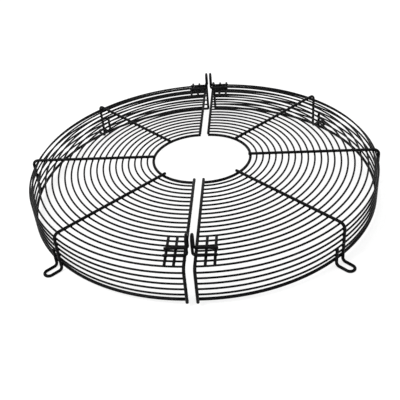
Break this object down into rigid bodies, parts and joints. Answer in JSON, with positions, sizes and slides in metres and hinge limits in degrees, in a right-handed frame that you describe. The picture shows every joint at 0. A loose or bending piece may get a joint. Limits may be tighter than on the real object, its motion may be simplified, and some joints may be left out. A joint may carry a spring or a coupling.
{
  "type": "wire fan guard",
  "caption": "Round two-part basket guard of black coated steel wire, with concentric rings, bent ribs, slotted hairpin feet and facing tie eyes at the split.",
  "frame": {"origin": "on the fan's axis, in the mounting plane that the four feet stand on", "axes": "+Z along the fan's axis, from the mounting plane out through the grille; X across the split, with the left half at -X; Y along the split, with the front at -Y"},
  "size_m": [0.5558, 0.5448, 0.0959],
  "materials": {
    "black_coating": "smooth satin black plastic coating over welded steel wire"
  },
  "bodies": {
    "root": {"left_inner_ring": "black_coating", "left_grille_ring_1": "black_coating", "left_grille_ring_2": "black_coating", "left_grille_ring_3": "black_coating", "left_grille_ring_4": "black_coating", "left_grille_ring_5": "black_coating", "left_grille_ring_6": "black_coating", "left_grille_ring_7": "black_coating", "left_grille_ring_8": "black_coating", "left_grille_ring_9": "black_coating", "left_grille_ring_10": "black_coating", "left_grille_ring_11": "black_coating", "left_grille_ring_12": "black_coating", "left_grille_ring_13": "black_coating", "left_grille_ring_14": "black_coating", "left_grille_ring_15": "black_coating", "left_grille_ring_16": "black_coating", "left_grille_ring_17": "black_coating", "left_grille_ring_18": "black_coating", "left_grille_ring_19": "black_coating", "left_side_rings": "black_coating", "left_base_ring": "black_coating", "left_front_rib": "black_coating", "left_back_rib": "black_coating", "left_middle_rib": "black_coating", "left_front_edge_wire": "black_coating", "left_back_edge_wire": "black_coating", "left_front_eye": "black_coating", "left_back_eye": "black_coating", "left_latch_bars": "black_coating", "right_inner_ring": "black_coating", "right_grille_ring_1": "black_coating", "right_grille_ring_2": "black_coating", "right_grille_ring_3": "black_coating", "right_grille_ring_4": "black_coating", "right_grille_ring_5": "black_coating", "right_grille_ring_6": "black_coating", "right_grille_ring_7": "black_coating", "right_grille_ring_8": "black_coating", "right_grille_ring_9": "black_coating", "right_grille_ring_10": "black_coating", "right_grille_ring_11": "black_coating", "right_grille_ring_12": "black_coating", "right_grille_ring_13": "black_coating", "right_grille_ring_14": "black_coating", "right_grille_ring_15": "black_coating", "right_grille_ring_16": "black_coating", "right_grille_ring_17": "black_coating", "right_grille_ring_18": "black_coating", "right_grille_ring_19": "black_coating", "right_side_rings": "black_coating", "right_base_ring": "black_coating", "right_front_rib": "black_coating", "right_back_rib": "black_coating", "right_middle_rib": "black_coating", "right_front_edge_wire": "black_coating", "right_back_edge_wire": "black_coating", "right_front_eye": "black_coating", "right_back_eye": "black_coating", "right_latch_bars": "black_coating"}
  },
  "joints": []
}
